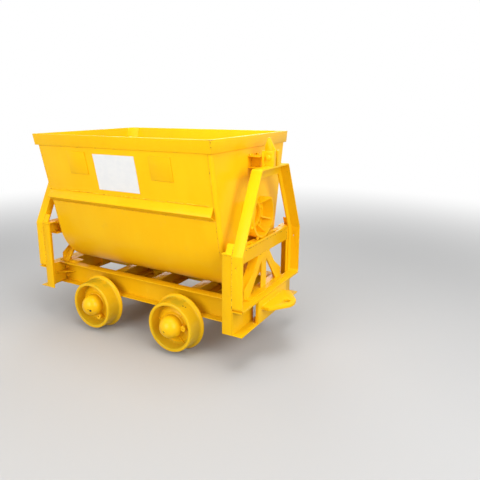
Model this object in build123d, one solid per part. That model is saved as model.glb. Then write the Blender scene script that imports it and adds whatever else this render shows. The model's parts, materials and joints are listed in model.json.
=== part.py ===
from build123d import *
from math import asin, cos, radians, sin, sqrt
import os

# Side dump ore cart: a trough bucket on two rocker castings, which roll sideways on racks in the end frames.
# Millimetres. X runs along the track, Y across it, Z up. Heights below are above the rail tops, and each
# node is saved that much higher that the wheel flanges' lowest points are at zero, where the cart stands.
# Each end is drawn at +X and turned half round about Z for the other end.

# Track and wheels
wheel_base = 600.0
flange_back = 276.0
wheel_width = 110.0
tread_radius = 150.0
tread_taper = 4.0
tread_edge = 4.0
flange_height = 18.0
flange_width = 18.0
flange_round = 6.0
rim_depth = 24.0
web_thickness = 14.0
web_recess = 52.0
web_dish = 14.0
hub_radius = 68.0
hub_flare = 8.0
hub_recess = 40.0
cap_height = 88.0
cap_lip = 24.0
cap_margin = 2.0
cap_boss_reach = 80.0
cap_boss_radius = 12.0
cap_boss_height = 18.0
cap_rib_width = 14.0
cap_rib_height = 12.0
cap_hole_radius = 4.5
cap_hole_depth = 12.0
cap_hole_lean = 43.0
boss_turn_right = 2.0
boss_turn_left = 62.0
axle_radius = 32.5
bore_clearance = 0.5

# Sills, cross members and axle seats
sill_height = 140.0
sill_outer = 268.0
channel_flange = 58.0
channel_wall = 6.0
cross_member_height = 96.0
cross_member_width = 60.0
seat_length = 120.0
seat_width = 46.0
seat_below_axle = 45.0
sill_gusset_length = 96.0
sill_plate_length = 76.0
sill_plate_inside = 49.0

# End frame: posts, ring, end channel and coupler
frame_half_width = 375.0
bucket_to_post = 25.0
post_depth = 57.0
post_wall = 8.0
post_leg = 60.0
knee_height = 628.0
ring_bottom = 333.0
ring_below_rim = 162.0
ring_top_half_width = 170.0
ring_depth = 61.0
ring_wall = 8.0
ring_leg_flange = 45.0
ring_top_flange = 60.0
ring_bend_radius = 22.0
end_channel_height = 137.0
end_channel_opening = 280.0
cap_plate = 8.0
cap_overhang = 5.0
stop_height = 46.0
stop_width = 40.0
leg_hole_radius = 4.0
leg_hole_height = 567.0
leg_hole_inset = 39.0

# Coupler: a plate in the end channel and a tongue with a pin hole
coupler_half_width = 187.0
coupler_thickness = 18.0
tongue_top = 290.0
tongue_thickness = 18.0
tongue_root_half_width = 145.0
tongue_wide_half_width = 151.0
tongue_wide_reach = 44.0
tongue_nose_half_width = 46.0
tongue_nose_reach = 120.0
tongue_reach = 129.0
pin_hole_radius = 21.0
pin_hole_reach = 83.0

# Rocker beam, its rack and its braces
beam_height = 77.0
beam_wall = 6.0
rack_thickness = 8.0
rack_width = 46.0
rack_overhang = 6.0
rack_hole_radius = 14.0
spare_hole_radius = 9.0
spare_hole_offset = 208.0
brace_leg = 50.0
brace_wall = 8.0
brace_middle_half_width = 31.0
brace_foot = 70.0
brace_foot_outer = 235.0
brace_head_half_width = 66.0
brace_gusset_foot = 50.0
brace_gusset_height = 112.0
foot_plate = 6.0
foot_plate_reach = 28.0

# Rocker castings
rocker_radius = 130.0
rocker_ring_wall = 12.0
rocker_web = 12.0
rocker_depth = 76.0
hub_hole_radius = 70.0
hub_lip_wall = 8.0
hub_lip_height = 19.0
collar_wall = 10.0
collar_height = 20.0
rocker_open_angle = 100.0
rocker_rib = 8.0
rib_rise = 10.0
stud_pitch_angle = 45.0
stud_inset = 12.0
stud_height = 13.0
stud_root = 1.0
stud_base_radius = 9.0
stud_tip_radius = 6.0
running_clearance = 0.3
pitch_steps = (-1.5, -0.5, 0.5, 1.5)

# Bucket
bucket_length = 1224.0
wall = 6.0
corner_bend = 22.0
rim_height = 1200.0
trough_radius = 326.0
trough_centre_height = 666.0
wall_slope = 12.0
rim_band_height = 66.0
rim_band_thickness = 8.0
stiffener_leg = 56.0
stiffener_wall = 5.0
stiffener_below_rim = 336.0
pad_length = 140.0
pad_height = 130.0
pad_thickness = 5.0
pad_spacing = 596.0
pad_below_rim = 158.0

# Latch at the top of each end frame, and its keepers on the bucket
lug_height = 84.0
lug_depth = 58.0
lug_wall = 8.0
lug_half_width = 40.0
lug_back_flange = 22.0
latch_slot = 20.0
lever_thickness = 16.0
lever_rise = 66.0
lever_depth = 59.0
lever_tip_depth = 9.0
lever_lean = 34.0
lever_shoulder = 28.0
lever_clearance = 6.0
latch_pin_radius = 13.0
latch_pin_height = 47.0
latch_pin_head = 6.0
keeper_depth = 76.0
keeper_height = 66.0
keeper_wall = 6.0
keeper_width = 46.0
keeper_slot = 20.0
keeper_above_ring = 21.0
tongue_half_height = 10.0
tongue_clearance = 8.0

# Sizes that follow from the ones above
axle_height = tread_radius
half_length = bucket_length / 2
post_back = half_length + bucket_to_post
post_front = post_back + post_depth
ring_front = post_front + ring_depth
ring_top = rim_height - ring_below_rim
ring_floor = ring_bottom + ring_wall
channel_bottom = ring_bottom - end_channel_height
sill_top = ring_floor
sill_bottom = sill_top - sill_height
sill_web = sill_outer - channel_flange
rack_top = knee_height + rack_thickness
rocker_height = rack_top + running_clearance + rocker_radius
rocker_web_front = half_length + rocker_web
stud_x = half_length + rocker_depth - stud_inset
slope = radians(wall_slope)


def block(xs, ys, zs):
    """A box from pairs of low and high values along X, Y and Z."""
    size = [high - low for low, high in (xs, ys, zs)]
    middle = [(high + low) / 2 for low, high in (xs, ys, zs)]
    return Pos(*middle) * Box(*size)


def across(points, start, depth):
    """A plate from an outline of (y, z) points, from X = start, depth thick."""
    face = make_face(Polyline(*points, close=True))
    return extrude(Plane.YZ.offset(start) * face, amount=depth)


def along(points, start, depth):
    """A plate from an outline of (x, z) points, from Y = start, depth thick."""
    face = make_face(Polyline(*points, close=True))
    return extrude(Plane.XZ.offset(-start) * face, amount=-depth)


def flat(points, start, depth):
    """A plate from an outline of (x, y) points, from Z = start, depth thick."""
    face = make_face(Polyline(*points, close=True))
    return extrude(Plane.XY.offset(start) * face, amount=depth)


def both_sides(shape):
    return [shape, mirror(shape, about=Plane.XZ)]


def save(node, shapes):
    """Write a node: a single shape or a list of shapes, kept as separate solids."""
    solids = []
    for shape in shapes if isinstance(shapes, list) else [shapes]:
        solids += (Pos(0, 0, flange_height) * shape).solids()
    whole = Compound(children=solids) if len(solids) > 1 else solids[0]
    export_step(whole, f"parts/{node}.step")


def save_ends(node, shapes):
    """Write the node at the right end as drawn, and at the left end turned half round."""
    shapes = shapes if isinstance(shapes, list) else [shapes]
    save(f"{node}_right", shapes)
    save(f"{node}_left", [Rot(0, 0, 180) * shape for shape in shapes])


os.makedirs("parts", exist_ok=True)

# Wheelsets


def wheel():
    """Flanged wheel with a dished web, about the Y axis, its flange towards the track's middle."""
    back, front = flange_back, flange_back + wheel_width
    web_front = front - web_recess
    web_back = web_front - web_thickness
    rim_inner = tread_radius - rim_depth
    flange_top = tread_radius + flange_height
    throat = back + flange_width
    tread_end = tread_radius - tread_taper
    profile = [
        (axle_radius, back + flange_round),
        (hub_radius, back + flange_round),
        (hub_radius + hub_flare, web_back),
        (rim_inner - flange_round, web_back - web_dish),
        (rim_inner, back),
        (flange_top - flange_round, back),
        (flange_top, back + flange_round),
        (flange_top - flange_round / 2, throat - tread_edge),
        (tread_radius + tread_edge, throat + tread_edge),
        (tread_radius, throat + 2 * tread_edge),
        (tread_end, front - tread_edge),
        (tread_end - tread_edge, front),
        (rim_inner + tread_edge, front),
        (rim_inner, front - tread_edge),
        (rim_inner - flange_round, web_front - web_dish),
        (hub_radius + hub_flare, web_front),
        (hub_radius, front - hub_recess),
        (axle_radius, front - hub_recess),
    ]
    return revolve(make_face(Polyline(*profile, close=True)), axis=Axis.Y)


def hub_cap(boss_turn, drilled):
    """Domed cap over the hub, with a drilled boss beside it, boss_turn degrees below the X axis."""
    base = flange_back + wheel_width - hub_recess
    radius = hub_radius - cap_margin
    rise = cap_height - cap_lip
    sphere = (radius**2 + rise**2) / (2 * rise)
    half_turn = asin(radius / sphere) / 2
    top = base + cap_height
    lip = base + cap_lip
    middle = (sphere * sin(half_turn), top - sphere * (1 - cos(half_turn)))
    dome = make_face(
        [
            Line((0, base), (radius, base)),
            Line((radius, base), (radius, lip)),
            ThreePointArc((radius, lip), middle, (0, top)),
            Line((0, top), (0, base)),
        ]
    )
    cap = revolve(dome, axis=Axis.Y)
    cap += block(
        (0, cap_boss_reach), (base, base + cap_rib_height), (-cap_rib_width / 2, cap_rib_width / 2)
    )
    to_boss = Plane.XZ.offset(-base) * Pos(cap_boss_reach, 0)
    cap += extrude(to_boss * Circle(cap_boss_radius), amount=-cap_boss_height)
    cap -= extrude(to_boss * Circle(cap_hole_radius), amount=-cap_boss_height)
    if drilled:
        hole = Cylinder(cap_hole_radius, 2 * cap_hole_depth)
        cap -= Pos(0, top - sphere, 0) * Rot(0, 0, -cap_hole_lean) * Pos(0, sphere, 0) * Rot(90, 0, 0) * hole
    return Rot(0, boss_turn, 0) * cap


hub_face = flange_back + wheel_width - hub_recess
for name, side, boss_turn, drilled in (
    ("right", 1, boss_turn_right, False),
    ("left", -1, boss_turn_left, True),
):
    to_axle = Pos(side * wheel_base / 2, 0, axle_height)
    axle = extrude(Plane.XZ * Circle(axle_radius), amount=hub_face, both=True)
    save(f"axle_{name}", to_axle * axle)
    save(f"wheels_{name}", [to_axle * part for part in both_sides(wheel())])
    save(f"hub_caps_{name}", [to_axle * part for part in both_sides(hub_cap(boss_turn, drilled))])

# Underframe: two channel sills, three channel cross members, gussets and axle seats

sill = block((-post_front, post_front), (sill_web, sill_outer), (sill_bottom, sill_top))
sill -= block(
    (-post_front, post_front),
    (sill_web + channel_wall, sill_outer),
    (sill_bottom + channel_wall, sill_top - channel_wall),
)
far_sill, near_sill = both_sides(sill)
save("sill_far", far_sill)
save("sill_near", near_sill)

cross_members = []
for centre in (-wheel_base / 2, 0, wheel_base / 2):
    start, end = centre - cross_member_width / 2, centre + cross_member_width / 2
    top = sill_bottom + cross_member_height
    member = block((start, end), (-sill_web, sill_web), (sill_bottom, top))
    member -= block(
        (start + channel_wall, end),
        (-sill_web, sill_web),
        (sill_bottom + channel_wall, top - channel_wall),
    )
    cross_members.append(member)
save("cross_members", cross_members)

gusset_root = sill_web + channel_wall
gusset = flat(
    [
        (post_front, gusset_root),
        (post_front, frame_half_width - post_leg),
        (post_front - sill_gusset_length, gusset_root),
    ],
    (sill_bottom + sill_top) / 2,
    channel_wall,
)
brace_back = post_front - brace_leg
sill_plate = block(
    (brace_back - sill_plate_length, brace_back),
    (sill_web - sill_plate_inside, brace_foot_outer),
    (sill_top, sill_top + foot_plate),
)
gussets = both_sides(gusset) + both_sides(sill_plate)
save("sill_gussets", gussets + [Rot(0, 0, 180) * part for part in gussets])

for name, side in (("right", 1), ("left", -1)):
    centre = side * wheel_base / 2
    middle = (sill_web + sill_outer) / 2
    seat = block(
        (centre - seat_length / 2, centre + seat_length / 2),
        (middle - seat_width / 2, middle + seat_width / 2),
        (axle_height - seat_below_axle, sill_bottom),
    )
    bore = Cylinder(axle_radius + bore_clearance, 2 * seat_width)
    seat -= Pos(centre, middle, axle_height) * Rot(90, 0, 0) * bore
    save(f"axle_seats_{name}", both_sides(seat))

# End ring: a flat bar bent round with a flange along its back edge


def leg_half_width(height):
    """Outer half width of the ring's sloping leg at a height above the knee."""
    share = (height - knee_height) / (ring_top - knee_height)
    return frame_half_width + share * (ring_top_half_width - frame_half_width)


def ring_outline():
    """The ring's outer outline, with its upper four bends and its two feet rounded."""
    points = [
        (frame_half_width, ring_bottom),
        (frame_half_width, knee_height),
        (ring_top_half_width, ring_top),
    ]
    points += [(-y, z) for y, z in reversed(points)]
    face = make_face(Polyline(*points, close=True))
    return fillet(face.vertices(), ring_bend_radius)


outline = ring_outline()
ring_plane = Plane.YZ.offset(post_front)
band = extrude(ring_plane * outline, amount=ring_depth)
band -= extrude(ring_plane * offset(outline, -ring_wall), amount=ring_depth)
flange = extrude(ring_plane * outline, amount=ring_wall)
window = extrude(ring_plane * offset(outline, -ring_leg_flange), amount=ring_wall)
window &= block(
    (post_front, ring_front),
    (-frame_half_width, frame_half_width),
    (ring_bottom, ring_top - ring_top_flange),
)
clear_half_width = frame_half_width - ring_leg_flange
flange -= window
flange -= block(
    (post_front, post_front + ring_wall),
    (-clear_half_width, clear_half_width),
    (ring_floor, ring_floor + 2 * ring_leg_flange),
)
leg_hole = Cylinder(leg_hole_radius, 2 * frame_half_width + ring_wall)
leg_hole = Pos(ring_front - leg_hole_inset, 0, leg_hole_height) * Rot(90, 0, 0) * leg_hole
save_ends("end_ring", band + flange - leg_hole)

# Posts behind the ring's legs, each with a cap plate and a stop plate

post_inner = frame_half_width - post_leg
post = block(
    (post_back, post_front),
    (frame_half_width - post_wall, frame_half_width),
    (channel_bottom, knee_height),
)
post += block(
    (post_front - post_wall, post_front),
    (post_inner, frame_half_width),
    (channel_bottom, knee_height),
)
cap = block(
    (post_back, post_front),
    (post_inner, frame_half_width + cap_overhang),
    (knee_height, knee_height + cap_plate),
)
stop_foot = knee_height + cap_plate
stop_head = stop_foot + stop_height
stop = across(
    [
        (leg_half_width(stop_foot), stop_foot),
        (leg_half_width(stop_head), stop_head),
        (leg_half_width(stop_head) - post_wall, stop_head),
        (leg_half_width(stop_foot) - post_wall, stop_foot),
    ],
    post_front - stop_width,
    stop_width,
)
save_ends("posts", both_sides(post + cap + stop))

# Beam between the posts: a channel open to the back, with the rack plate on it

beam_bottom = knee_height - beam_height
beam = block((post_back, post_front), (-post_inner, post_inner), (beam_bottom, knee_height))
beam -= block(
    (post_back, post_front - beam_wall),
    (-post_inner, post_inner),
    (beam_bottom + beam_wall, knee_height - beam_wall),
)
rack_front = post_front + rack_overhang
beam += block((rack_front - rack_width, rack_front), (-post_inner, post_inner), (knee_height, rack_top))
stud_pitch = radians(stud_pitch_angle) * rocker_radius
holes = [(step * stud_pitch, rack_hole_radius) for step in pitch_steps]
holes += [(-spare_hole_offset, spare_hole_radius), (spare_hole_offset, spare_hole_radius)]
for hole_y, radius in holes:
    hole = extrude(Circle(radius), amount=-(rack_thickness + beam_wall))
    beam -= Pos(stud_x, hole_y, rack_top) * hole
save_ends("rocker_beam", beam)

# Braces under the beam: a middle bar and two leaning angle bars, with gussets at their feet

foot_top = sill_top + foot_plate
brace_x = (brace_back, post_front)
brace_height = beam_bottom - foot_top
braces = block(
    (brace_back, post_front + foot_plate_reach),
    (-brace_foot_outer, brace_foot_outer),
    (sill_top, foot_top),
)
braces += block(
    (post_front - brace_wall, post_front),
    (-brace_middle_half_width, brace_middle_half_width),
    (foot_top, beam_bottom),
)
brace_foot_inner = brace_foot_outer - brace_foot
brace_lean = (brace_foot_outer - brace_head_half_width) / brace_height
middle_meet = foot_top + brace_foot_inner / brace_lean
wall_across = brace_wall * sqrt(1 + brace_lean**2)
brace_front = [
    (brace_foot_inner, foot_top),
    (brace_foot_outer, foot_top),
    (brace_head_half_width, beam_bottom),
    (0, beam_bottom),
    (0, middle_meet),
]
brace_side = [
    (brace_foot_outer - wall_across, foot_top),
    (brace_foot_outer, foot_top),
    (brace_head_half_width, beam_bottom),
    (brace_head_half_width - wall_across, beam_bottom),
]
brace_gusset = [
    (brace_foot_outer, foot_top),
    (brace_foot_outer, foot_top + brace_gusset_foot),
    (brace_foot_outer - brace_lean * brace_gusset_height, foot_top + brace_gusset_height),
]
for outline_yz, depth in ((brace_front, brace_wall), (brace_side, brace_leg), (brace_gusset, brace_wall)):
    for brace in both_sides(across(outline_yz, post_front - depth, depth)):
        braces += brace
save_ends("braces", braces)

# End channel across the frame, open to the front, and the coupler in it

inside_x = (post_front + channel_wall, ring_front)
inside_z = (channel_bottom + channel_wall, ring_bottom - channel_wall)
end_channel = block(
    (post_front, ring_front), (-frame_half_width, frame_half_width), (channel_bottom, ring_bottom)
)
end_channel -= block(inside_x, (-frame_half_width, frame_half_width), inside_z)
end_channel -= block(
    (post_front, ring_front), (-end_channel_opening / 2, end_channel_opening / 2), inside_z
)
save_ends("end_channel", end_channel)

coupler = block(
    (ring_front - coupler_thickness, ring_front),
    (-coupler_half_width, coupler_half_width),
    inside_z,
)
nose_x = ring_front + tongue_nose_reach
wide_x = ring_front + tongue_wide_reach
tongue = make_face(
    [
        Line((ring_front, -tongue_root_half_width), (wide_x, -tongue_wide_half_width)),
        Line((wide_x, -tongue_wide_half_width), (nose_x, -tongue_nose_half_width)),
        ThreePointArc(
            (nose_x, -tongue_nose_half_width),
            (ring_front + tongue_reach, 0),
            (nose_x, tongue_nose_half_width),
        ),
        Line((nose_x, tongue_nose_half_width), (wide_x, tongue_wide_half_width)),
        Line((wide_x, tongue_wide_half_width), (ring_front, tongue_root_half_width)),
        Line((ring_front, tongue_root_half_width), (ring_front, -tongue_root_half_width)),
    ]
)
tongue -= Pos(ring_front + pin_hole_reach, 0) * Circle(pin_hole_radius)
coupler += Pos(0, 0, tongue_top) * extrude(tongue, amount=-tongue_thickness)
save_ends("coupler", coupler)

# Latch on the ring's top: two angle-shaped lugs, and the lever on its pin between them

lug_back = ring_front - lug_depth
lug_top = ring_top + lug_height
lug = block((lug_back, ring_front), (lug_half_width - lug_wall, lug_half_width), (ring_top, lug_top))
lug += block((ring_front - lug_wall, ring_front), (latch_slot / 2, lug_half_width), (ring_top, lug_top))
lug += block(
    (lug_back, lug_back + lug_wall),
    (lug_half_width, lug_half_width + lug_back_flange),
    (ring_top, lug_top),
)
pin_x = (lug_back + ring_front) / 2
to_pin = Pos(pin_x, 0, ring_top + latch_pin_height) * Rot(90, 0, 0)
pin_hole = to_pin * Cylinder(latch_pin_radius, 4 * lug_half_width)
save_ends("latch_lugs", both_sides(lug - pin_hole))

keeper_face = half_length + keeper_depth
keeper_centre = ring_top + keeper_above_ring
lever_top = lug_top + lever_rise
lever_front = ring_front - lever_clearance
lever_back = lever_front - lever_depth
tongue_back = keeper_face + tongue_clearance
tip_front = lever_front - lever_lean
lever_foot = ring_top + lever_clearance
lever = along(
    [
        (lug_back + lug_wall, lever_foot),
        (ring_front - lug_wall - lever_clearance, lever_foot),
        (lever_front, lug_top),
        (tip_front, lever_top),
        (tip_front - lever_tip_depth, lever_top),
        (lever_back, lug_top + lever_shoulder),
        (lever_back, lug_top),
        (tongue_back, lug_top - lever_clearance),
        (tongue_back, keeper_centre - tongue_half_height),
    ],
    -lever_thickness / 2,
    lever_thickness,
)
lever += to_pin * Cylinder(latch_pin_radius, 2 * (lug_half_width + latch_pin_head))
save_ends("latch_lever", lever)

# Bucket: one bent shell, which is split into the trough and two pressed end walls


def wall_half_width(height):
    """Outer half width of the trough's sloping side at a height."""
    return (trough_radius + (height - trough_centre_height) * sin(slope)) / cos(slope)


def trough_outline(inset):
    """Section of the trough, moved inwards by inset, as a face in Y and Z."""
    radius = trough_radius - inset
    turn = (radius * cos(slope), trough_centre_height - radius * sin(slope))
    top = wall_half_width(rim_height) - inset / cos(slope)
    bottom = trough_centre_height - radius
    edges = [
        Line((top, rim_height), turn),
        ThreePointArc(turn, (0, bottom), (-turn[0], turn[1])),
        Line((-turn[0], turn[1]), (-top, rim_height)),
        Line((-top, rim_height), (top, rim_height)),
    ]
    return make_face(edges)


def bucket_body(inset):
    """The bucket as a filled form, moved inwards by inset, with its ends' edges rounded."""
    reach = half_length - inset
    body = extrude(Plane.YZ * trough_outline(inset), amount=reach, both=True)
    along_x = body.edges().group_by(Axis.X)
    ends = [edge for end in (along_x[0], along_x[-1]) for edge in end.sort_by(Axis.Z)[:-1]]
    return fillet(ends, corner_bend - inset)


outside = bucket_body(0)
shell = outside - bucket_body(wall)
flat_half = half_length - corner_bend
beyond = half_length + rim_height
everywhere = (-beyond, beyond)
save("trough", shell & block((-flat_half, flat_half), everywhere, everywhere))
save_ends("end_wall", shell & block((flat_half, half_length), everywhere, everywhere))

rim_foot = rim_height - rim_band_height
band_out = rim_band_thickness / cos(slope)
band_reach = half_length + rim_band_thickness
rim = across(
    [
        (wall_half_width(rim_foot) + band_out, rim_foot),
        (wall_half_width(rim_height) + band_out, rim_height),
        (-wall_half_width(rim_height) - band_out, rim_height),
        (-wall_half_width(rim_foot) - band_out, rim_foot),
    ],
    -band_reach,
    2 * band_reach,
)
save("rim_band", rim - outside)

# Angle bar along each side, corner outwards, both toes on the wall

stiffener_top = rim_height - stiffener_below_rim
toe_drop = stiffener_leg * sqrt(2) * cos(slope)
low_toe = stiffener_top - toe_drop
mid_height = (stiffener_top + low_toe) / 2
rise = stiffener_leg / sqrt(2)
corner = (
    wall_half_width(mid_height) + rise * cos(slope),
    mid_height - rise * sin(slope),
)
thick = stiffener_wall * sqrt(2)
stiffener = across(
    [
        (wall_half_width(stiffener_top), stiffener_top),
        corner,
        (wall_half_width(low_toe), low_toe),
        (wall_half_width(low_toe + thick), low_toe + thick),
        (corner[0] - thick * cos(slope), corner[1] + thick * sin(slope)),
        (wall_half_width(stiffener_top - thick), stiffener_top - thick),
    ],
    -flat_half,
    2 * flat_half,
)
save("side_stiffeners", both_sides(stiffener))

pads = []
pad_centre = rim_height - pad_below_rim
pad_low = pad_centre - pad_height / 2
pad_high = pad_centre + pad_height / 2
pad_out = pad_thickness / cos(slope)
for centre in (-pad_spacing / 2, pad_spacing / 2):
    pad = across(
        [
            (wall_half_width(pad_low), pad_low),
            (wall_half_width(pad_low) + pad_out, pad_low),
            (wall_half_width(pad_high) + pad_out, pad_high),
            (wall_half_width(pad_high), pad_high),
        ],
        centre - pad_length / 2,
        pad_length,
    )
    pads += both_sides(pad)
save("side_pads", pads)

# Rocker castings: ring, web, ribs and studs. Angles are from +Y, anticlockwise seen from +X.

to_rocker = Plane.YZ.offset(half_length) * Pos(0, rocker_height)
half_opening = radians(rocker_open_angle / 2)
rocker_diameter = 2 * rocker_radius
far_y = rocker_diameter * sin(half_opening)
far_z = rocker_diameter * cos(half_opening)
opening = make_face(Polyline((0, 0), (far_y, far_z), (-far_y, far_z), close=True))
hub = Circle(hub_hole_radius + hub_lip_wall)
hub_hole = Circle(hub_hole_radius)
ring_inside = rocker_radius - rocker_ring_wall
rim_face = Circle(rocker_radius) - Circle(ring_inside) - opening
rocker = extrude(to_rocker * rim_face, amount=rocker_depth)
rocker += extrude(to_rocker * (Circle(rocker_radius) - opening + hub - hub_hole), amount=rocker_web)
rocker += extrude(to_rocker * (hub - hub_hole), amount=hub_lip_height)
rib_angles = [stud_pitch_angle * step - 90 for step in pitch_steps]
rib_angles += [90 - rocker_open_angle / 2, 90 + rocker_open_angle / 2]
rib = along(
    [
        (rocker_web_front, hub_hole_radius + hub_lip_wall / 2),
        (rocker_web_front, rocker_radius - rocker_ring_wall / 2),
        (half_length + rocker_depth, rocker_radius - rocker_ring_wall / 2),
        (rocker_web_front + rib_rise, hub_hole_radius + hub_lip_wall / 2),
    ],
    -rocker_rib / 2,
    rocker_rib,
)
for angle in rib_angles:
    rocker += Pos(0, 0, rocker_height) * Rot(angle - 90, 0, 0) * rib
stud = Cone(stud_base_radius, stud_tip_radius, stud_height + stud_root)
stud = Pos(0, 0, rocker_radius + (stud_height - stud_root) / 2) * stud
for step in pitch_steps:
    turn = 180 + stud_pitch_angle * step
    rocker += Pos(stud_x, 0, rocker_height) * Rot(turn, 0, 0) * stud
save_ends("rocker", rocker)

collar_radius = hub_hole_radius - running_clearance
collar = Circle(collar_radius) - Circle(collar_radius - collar_wall)
to_collar = Plane.YZ.offset(half_length + running_clearance) * Pos(0, rocker_height)
save_ends("rocker_collar", extrude(to_collar * collar, amount=collar_height))

# Keepers on the end walls, one each side of the latch's slot: short channels open away from the slot

keeper_z = (keeper_centre - keeper_height / 2, keeper_centre + keeper_height / 2)
keeper_start = keeper_slot / 2
keeper_end = keeper_start + keeper_width
keeper = block((half_length, keeper_face), (keeper_start, keeper_end), keeper_z)
keeper -= block(
    (half_length, keeper_face),
    (keeper_start + keeper_wall, keeper_end),
    (keeper_z[0] + keeper_wall, keeper_z[1] - keeper_wall),
)
save_ends("latch_keepers", both_sides(keeper))
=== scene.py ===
import json
import random
from math import atan2, cos, radians, sin, sqrt, tan

import bpy
from mathutils import Matrix, Vector

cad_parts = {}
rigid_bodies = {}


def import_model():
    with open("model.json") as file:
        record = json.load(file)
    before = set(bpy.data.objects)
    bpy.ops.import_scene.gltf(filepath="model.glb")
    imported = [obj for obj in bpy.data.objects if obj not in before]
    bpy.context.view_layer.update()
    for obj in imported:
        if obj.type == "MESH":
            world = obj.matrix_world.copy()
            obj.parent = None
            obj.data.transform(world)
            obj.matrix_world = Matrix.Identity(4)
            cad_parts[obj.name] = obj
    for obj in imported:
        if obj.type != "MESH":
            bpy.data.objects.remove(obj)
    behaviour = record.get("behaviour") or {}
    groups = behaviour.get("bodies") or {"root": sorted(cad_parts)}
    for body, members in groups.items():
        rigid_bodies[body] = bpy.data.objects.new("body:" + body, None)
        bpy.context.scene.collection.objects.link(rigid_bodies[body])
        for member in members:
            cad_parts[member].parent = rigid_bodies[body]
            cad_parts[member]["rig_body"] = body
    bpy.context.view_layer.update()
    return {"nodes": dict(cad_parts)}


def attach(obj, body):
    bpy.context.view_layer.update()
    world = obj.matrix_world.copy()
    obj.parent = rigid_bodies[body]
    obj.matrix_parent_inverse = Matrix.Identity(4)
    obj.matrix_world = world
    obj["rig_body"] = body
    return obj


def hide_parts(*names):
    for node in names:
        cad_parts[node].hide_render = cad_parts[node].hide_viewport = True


# Side dump ore cart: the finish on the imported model. Metres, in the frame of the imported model.
# X runs along the track, Y across it with the photographed side at -Y, Z up from the floor.

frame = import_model()

MM = 0.001
RAIL_TOP = 18 * MM
ENDS = (("right", 1), ("left", -1))
SIDES = (("near", -1), ("far", 1))


def place(x, y, z):
    """A point from millimetres, its height given above the rail tops."""
    return Vector((x * MM, y * MM, z * MM + RAIL_TOP))


# Sizes of the model that the small pieces are set by, in millimetres. Heights are above the rail tops.
BUCKET_HALF_LENGTH = 612
BUCKET_FLAT_HALF = 590
WALL = 6
TROUGH_RADIUS = 326
TROUGH_CENTRE = 666
SLOPE_DEGREES = 12
WALL_SLOPE = radians(SLOPE_DEGREES)
SLOPE_FOOT = 600
RIM_TOP = 1200
RIM_FOOT = 1134
RIM_THICK = 8
STIFFENER_TOP = 864
STIFFENER_LEG = 56
PAD_X = 298
PAD_HALF_LENGTH = 70
PAD_FOOT = 977
RING_BACK = 694
RING_FRONT = 755
RING_BOTTOM = 333
RING_TOP = 1038
RING_TOP_HALF = 170
FRAME_HALF = 375
KNEE = 628
RACK_TOP = 636
POST_BACK = 637
POST_INNER = 315
SILL_BOTTOM = 201
SILL_TOP = 341
SILL_FACE = 216
BEAM_BOTTOM = 551
BEAM_TOP = 628
BRACE_HEAD_HALF = 62
TONGUE_HALF = 145
TONGUE_TOP = 290
TONGUE_BOTTOM = 272
ROCKER_CENTRE = 766.3
ROCKER_WEB_FRONT = 624
KEEPER_Z = (1026, 1092)
KEEPER_Y = (10, 56)
CHEEK_OUTER = 40
PIN_X = 726
PIN_Z = 1085
AXLE_X = 300
AXLE_Z = 150


def wall_half_width(height):
    """Outer half width of the bucket's sloping side at a height above the rail tops."""
    return (TROUGH_RADIUS + (height - TROUGH_CENTRE) * sin(WALL_SLOPE)) / cos(WALL_SLOPE)


def leg_half_width(height):
    """Outer half width of the end ring's sloping leg at a height above the rail tops."""
    share = (height - KNEE) / (RING_TOP - KNEE)
    return FRAME_HALF + share * (RING_TOP_HALF - FRAME_HALF)


# Shader building


class Signal:
    """A node's output socket. Arithmetic on it adds Math nodes."""

    def __init__(self, shader, socket):
        self.shader = shader
        self.socket = socket

    def __add__(self, other):
        return self.shader.math("ADD", self, other)

    def __radd__(self, other):
        return self.shader.math("ADD", other, self)

    def __sub__(self, other):
        return self.shader.math("SUBTRACT", self, other)

    def __rsub__(self, other):
        return self.shader.math("SUBTRACT", other, self)

    def __mul__(self, other):
        return self.shader.math("MULTIPLY", self, other)

    def __rmul__(self, other):
        return self.shader.math("MULTIPLY", other, self)

    def __abs__(self):
        return self.shader.math("ABSOLUTE", self)


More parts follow.
